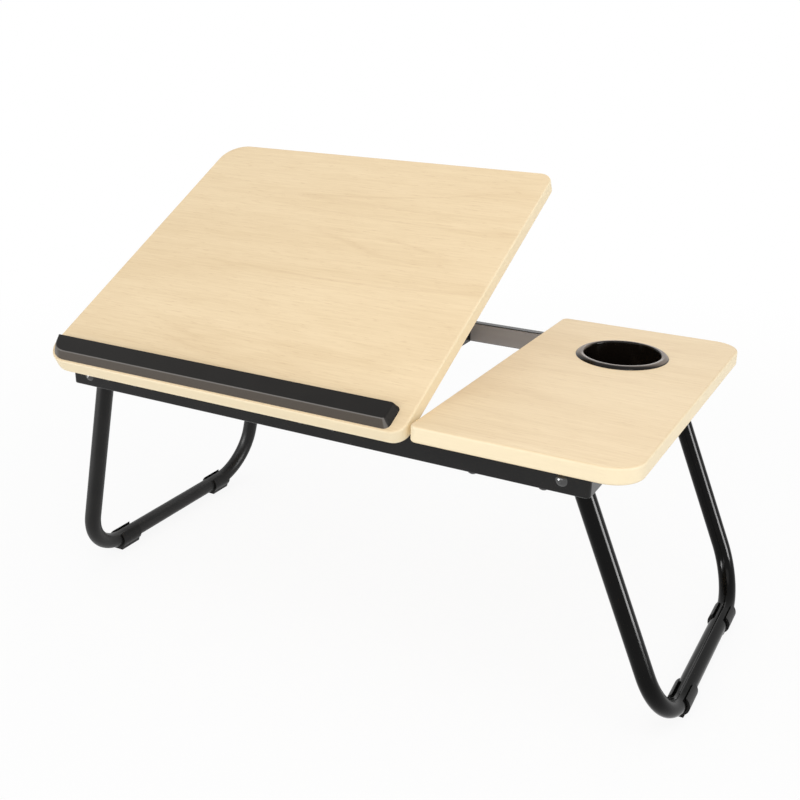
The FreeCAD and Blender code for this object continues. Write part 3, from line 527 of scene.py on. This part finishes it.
def lay_floor(settings):
    """A round pale floor that keeps the desk's shadow and fades to white far out."""
    mesh = bpy.data.meshes.new("floor")
    shape = bmesh.new()
    bmesh.ops.create_circle(shape, cap_ends=True, segments=FLOOR_SIDES, radius=settings.floor_reach)
    bmesh.ops.translate(shape, verts=shape.verts, vec=(0, 0, -FLOOR_DROP))
    shape.to_mesh(mesh)
    shape.free()
    floor = bpy.data.objects.new("floor", mesh)
    bpy.context.collection.objects.link(floor)
    material, place, shader = new_finish("pale_floor")
    tree = place.tree
    mottle = place.noise(scale=3, detail=3)
    pale = mottle.blend(rgba(settings.floor_colour), rgba(settings.floor_colour, 0.98))
    feed(shader, Base_Color=pale, Roughness=0.9, Specular_IOR_Level=0.0)
    glow = place.node("ShaderNodeEmission", None, {"Color": (1, 1, 1, 1), "Strength": 1.0})
    distance = place.node("ShaderNodeVectorMath", {"operation": "LENGTH"}, {0: place}, output="Value")
    far = distance.spread(FADE_START, FADE_END)
    share = seen_directly(tree) * (FLOOR_GLOW + far * (1.0 - FLOOR_GLOW))
    surface = place.node("ShaderNodeMixShader", None,
                         {0: share, 1: Flow(tree, shader.outputs[0]), 2: glow})
    output = next(node for node in tree.nodes if node.type == "OUTPUT_MATERIAL")
    connect(output.inputs["Surface"], surface)
    mesh.materials.append(material)


def fill_sky(settings):
    """White where it is seen, a plain level where it only lights."""
    world = bpy.data.worlds.new("studio")
    world.use_nodes = True
    tree = world.node_tree
    background = next(node for node in tree.nodes if node.type == "BACKGROUND")
    level = settings.sky_level + seen_directly(tree) * (1.0 - settings.sky_level)
    connect(background.inputs["Color"], (1, 1, 1, 1))
    connect(background.inputs["Strength"], level)
    bpy.context.scene.world = world


def hang_light(name, power, width, height, place, target, glint):
    """A soft box; a glint card shows in shiny surfaces alone."""
    data = bpy.data.lights.new(name, "AREA")
    data.shape = "RECTANGLE"
    data.size = width
    data.size_y = height
    data.energy = power
    light = bpy.data.objects.new(name, data)
    light.location = place
    light.rotation_euler = (Vector(target) - Vector(place)).to_track_quat("-Z", "Y").to_euler()
    light.visible_camera = False
    light.visible_diffuse = not glint
    bpy.context.collection.objects.link(light)


def place_camera(settings):
    """The camera at its place, turned left, tilted down and rolled."""
    data = bpy.data.cameras.new("camera")
    data.sensor_fit = "HORIZONTAL"
    data.sensor_width = SENSOR_WIDTH
    data.lens = SENSOR_WIDTH * settings.focal_length
    data.clip_start = NEAR_CLIP
    turn, tilt, roll = settings.camera_turn
    ahead = Vector((-math.sin(turn) * math.cos(tilt), math.cos(turn) * math.cos(tilt),
                    -math.sin(tilt)))
    across = Vector((math.cos(turn), math.sin(turn), 0))
    upward = across.cross(ahead)
    right = math.cos(roll) * across + math.sin(roll) * upward
    up = math.cos(roll) * upward - math.sin(roll) * across
    camera = bpy.data.objects.new("camera", data)
    axes = Matrix((right, up, -ahead)).transposed().to_4x4()
    camera.matrix_world = Matrix.Translation(settings.camera_place) @ axes
    bpy.context.collection.objects.link(camera)
    bpy.context.scene.camera = camera


class LAPDESK_OT_stage(bpy.types.Operator):
    """Floor, sky, soft boxes and the camera at the photograph's angle"""
    bl_idname = "lapdesk.stage"
    bl_label = "Stage"
    bl_options = {"REGISTER", "UNDO"}

    def execute(self, context):
        settings = context.scene.lap_desk_stage
        lay_floor(settings)
        fill_sky(settings)
        for glint, lamps in ((False, SOFT_BOXES), (True, GLINT_CARDS)):
            for name, (power, *form) in lamps.items():
                hang_light(name, getattr(settings, power), *form, glint)
        place_camera(settings)
        context.scene.view_settings.view_transform = "Standard"
        return {"FINISHED"}


OPERATORS = (LAPDESK_OT_boards, LAPDESK_OT_frame_tubes, LAPDESK_OT_rivets, LAPDESK_OT_stop_bar,
             LAPDESK_OT_mouldings, LAPDESK_OT_cup, LAPDESK_OT_hardware, LAPDESK_OT_stage)


class LAPDESK_PT_looks(bpy.types.Panel):
    """The desk's finishes and stage"""
    bl_idname = "LAPDESK_PT_looks"
    bl_label = "Lap desk"
    bl_space_type = "VIEW_3D"
    bl_region_type = "UI"
    bl_category = "Lap desk"

    def draw(self, context):
        for operator in OPERATORS:
            self.layout.operator(operator.bl_idname)
        for settings in (context.scene.lap_desk_finish, context.scene.lap_desk_stage):
            for name in settings.__annotations__:
                self.layout.prop(settings, name)


CLASSES = (LapDeskFinish, LapDeskStage, *OPERATORS, LAPDESK_PT_looks)


def register():
    for entry in CLASSES:
        bpy.utils.register_class(entry)
    bpy.types.Scene.lap_desk_finish = PointerProperty(type=LapDeskFinish)
    bpy.types.Scene.lap_desk_stage = PointerProperty(type=LapDeskStage)


def unregister():
    del bpy.types.Scene.lap_desk_stage
    del bpy.types.Scene.lap_desk_finish
    for entry in reversed(CLASSES):
        bpy.utils.unregister_class(entry)


def main():
    register()
    bpy.ops.lapdesk.boards()
    bpy.ops.lapdesk.frame_tubes()
    bpy.ops.lapdesk.rivets()
    bpy.ops.lapdesk.stop_bar()
    bpy.ops.lapdesk.mouldings()
    bpy.ops.lapdesk.cup()
    bpy.ops.lapdesk.hardware()
    bpy.ops.lapdesk.stage()


if __name__ == "__main__":
    main()
